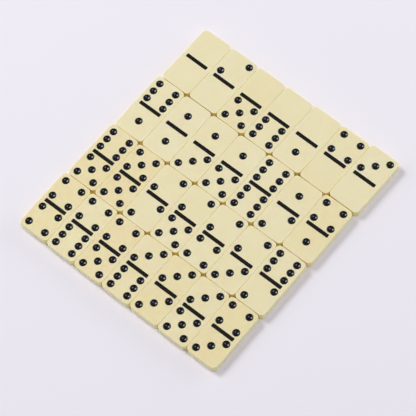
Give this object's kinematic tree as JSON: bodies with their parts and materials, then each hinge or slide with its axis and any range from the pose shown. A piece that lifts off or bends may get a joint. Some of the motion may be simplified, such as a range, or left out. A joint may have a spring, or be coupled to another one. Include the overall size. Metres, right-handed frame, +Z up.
{
  "type": "domino set",
  "caption": "Complete double-six domino set: ivory plastic tiles with black pips and divider bars, laid face up edge to edge in a block.",
  "frame": {"origin": "middle of the block's underside, on the surface that the tiles lie on", "axes": "+X along the rows of tiles, across each tile; +Y along the tiles' length, from the near row to the far row; +Z up out of the tiles' faces"},
  "size_m": [0.1724, 0.1904, 0.0063],
  "materials": {
    "ivory_plastic": "warm ivory moulded plastic, satin gloss, slightly translucent",
    "black_enamel": "glossy black enamel in the pips and the divider groove"
  },
  "bodies": {
    "tile_0_0": {"tile_0_0": "ivory_plastic", "divider_0_0": "black_enamel"},
    "tile_1_0": {"tile_1_0": "ivory_plastic", "divider_1_0": "black_enamel"},
    "tile_1_1": {"tile_1_1": "ivory_plastic", "divider_1_1": "black_enamel"},
    "tile_2_0": {"tile_2_0": "ivory_plastic", "divider_2_0": "black_enamel"},
    "tile_2_1": {"tile_2_1": "ivory_plastic", "divider_2_1": "black_enamel"},
    "tile_2_2": {"tile_2_2": "ivory_plastic", "divider_2_2": "black_enamel"},
    "tile_3_0": {"tile_3_0": "ivory_plastic", "divider_3_0": "black_enamel"},
    "tile_3_1": {"tile_3_1": "ivory_plastic", "divider_3_1": "black_enamel"},
    "tile_3_2": {"tile_3_2": "ivory_plastic", "divider_3_2": "black_enamel"},
    "tile_3_3": {"tile_3_3": "ivory_plastic", "divider_3_3": "black_enamel"},
    "tile_4_0": {"tile_4_0": "ivory_plastic", "divider_4_0": "black_enamel"},
    "tile_4_1": {"tile_4_1": "ivory_plastic", "divider_4_1": "black_enamel"},
    "tile_4_2": {"tile_4_2": "ivory_plastic", "divider_4_2": "black_enamel"},
    "tile_4_3": {"tile_4_3": "ivory_plastic", "divider_4_3": "black_enamel"},
    "tile_4_4": {"tile_4_4": "ivory_plastic", "divider_4_4": "black_enamel"},
    "tile_5_0": {"tile_5_0": "ivory_plastic", "divider_5_0": "black_enamel"},
    "tile_5_1": {"tile_5_1": "ivory_plastic", "divider_5_1": "black_enamel"},
    "tile_5_2": {"tile_5_2": "ivory_plastic", "divider_5_2": "black_enamel"},
    "tile_5_3": {"tile_5_3": "ivory_plastic", "divider_5_3": "black_enamel"},
    "tile_5_4": {"tile_5_4": "ivory_plastic", "divider_5_4": "black_enamel"},
    "tile_5_5": {"tile_5_5": "ivory_plastic", "divider_5_5": "black_enamel"},
    "tile_6_0": {"tile_6_0": "ivory_plastic", "divider_6_0": "black_enamel"},
    "tile_6_1": {"tile_6_1": "ivory_plastic", "divider_6_1": "black_enamel"},
    "tile_6_2": {"tile_6_2": "ivory_plastic", "divider_6_2": "black_enamel"},
    "tile_6_3": {"tile_6_3": "ivory_plastic", "divider_6_3": "black_enamel"},
    "tile_6_4": {"tile_6_4": "ivory_plastic", "divider_6_4": "black_enamel"},
    "tile_6_5": {"tile_6_5": "ivory_plastic", "divider_6_5": "black_enamel"},
    "tile_6_6": {"tile_6_6": "ivory_plastic", "divider_6_6": "black_enamel"}
  },
  "joints": [
    {"name": "lift_0_0", "type": "slide", "parent": "tile_5_2", "child": "tile_0_0", "axis": [0, 0, 1], "range_m": [0, 0.03]},
    {"name": "lift_1_0", "type": "slide", "parent": "tile_5_2", "child": "tile_1_0", "axis": [0, 0, 1], "range_m": [0, 0.03]},
    {"name": "lift_1_1", "type": "slide", "parent": "tile_5_2", "child": "tile_1_1", "axis": [0, 0, 1], "range_m": [0, 0.03]},
    {"name": "lift_2_0", "type": "slide", "parent": "tile_5_2", "child": "tile_2_0", "axis": [0, 0, 1], "range_m": [0, 0.03]},
    {"name": "lift_2_1", "type": "slide", "parent": "tile_5_2", "child": "tile_2_1", "axis": [0, 0, 1], "range_m": [0, 0.03]},
    {"name": "lift_2_2", "type": "slide", "parent": "tile_5_2", "child": "tile_2_2", "axis": [0, 0, 1], "range_m": [0, 0.03]},
    {"name": "lift_3_0", "type": "slide", "parent": "tile_5_2", "child": "tile_3_0", "axis": [0, 0, 1], "range_m": [0, 0.03]},
    {"name": "lift_3_1", "type": "slide", "parent": "tile_5_2", "child": "tile_3_1", "axis": [0, 0, 1], "range_m": [0, 0.03]},
    {"name": "lift_3_2", "type": "slide", "parent": "tile_5_2", "child": "tile_3_2", "axis": [0, 0, 1], "range_m": [0, 0.03]},
    {"name": "lift_3_3", "type": "slide", "parent": "tile_5_2", "child": "tile_3_3", "axis": [0, 0, 1], "range_m": [0, 0.03]},
    {"name": "lift_4_0", "type": "slide", "parent": "tile_5_2", "child": "tile_4_0", "axis": [0, 0, 1], "range_m": [0, 0.03]},
    {"name": "lift_4_1", "type": "slide", "parent": "tile_5_2", "child": "tile_4_1", "axis": [0, 0, 1], "range_m": [0, 0.03]},
    {"name": "lift_4_2", "type": "slide", "parent": "tile_5_2", "child": "tile_4_2", "axis": [0, 0, 1], "range_m": [0, 0.03]},
    {"name": "lift_4_3", "type": "slide", "parent": "tile_5_2", "child": "tile_4_3", "axis": [0, 0, 1], "range_m": [0, 0.03]},
    {"name": "lift_4_4", "type": "slide", "parent": "tile_5_2", "child": "tile_4_4", "axis": [0, 0, 1], "range_m": [0, 0.03]},
    {"name": "lift_5_0", "type": "slide", "parent": "tile_5_2", "child": "tile_5_0", "axis": [0, 0, 1], "range_m": [0, 0.03]},
    {"name": "lift_5_1", "type": "slide", "parent": "tile_5_2", "child": "tile_5_1", "axis": [0, 0, 1], "range_m": [0, 0.03]},
    {"name": "lift_5_3", "type": "slide", "parent": "tile_5_2", "child": "tile_5_3", "axis": [0, 0, 1], "range_m": [0, 0.03]},
    {"name": "lift_5_4", "type": "slide", "parent": "tile_5_2", "child": "tile_5_4", "axis": [0, 0, 1], "range_m": [0, 0.03]},
    {"name": "lift_5_5", "type": "slide", "parent": "tile_5_2", "child": "tile_5_5", "axis": [0, 0, 1], "range_m": [0, 0.03]},
    {"name": "lift_6_0", "type": "slide", "parent": "tile_5_2", "child": "tile_6_0", "axis": [0, 0, 1], "range_m": [0, 0.03]},
    {"name": "lift_6_1", "type": "slide", "parent": "tile_5_2", "child": "tile_6_1", "axis": [0, 0, 1], "range_m": [0, 0.03]},
    {"name": "lift_6_2", "type": "slide", "parent": "tile_5_2", "child": "tile_6_2", "axis": [0, 0, 1], "range_m": [0, 0.03]},
    {"name": "lift_6_3", "type": "slide", "parent": "tile_5_2", "child": "tile_6_3", "axis": [0, 0, 1], "range_m": [0, 0.03]},
    {"name": "lift_6_4", "type": "slide", "parent": "tile_5_2", "child": "tile_6_4", "axis": [0, 0, 1], "range_m": [0, 0.03]},
    {"name": "lift_6_5", "type": "slide", "parent": "tile_5_2", "child": "tile_6_5", "axis": [0, 0, 1], "range_m": [0, 0.03]},
    {"name": "lift_6_6", "type": "slide", "parent": "tile_5_2", "child": "tile_6_6", "axis": [0, 0, 1], "range_m": [0, 0.03]}
  ]
}
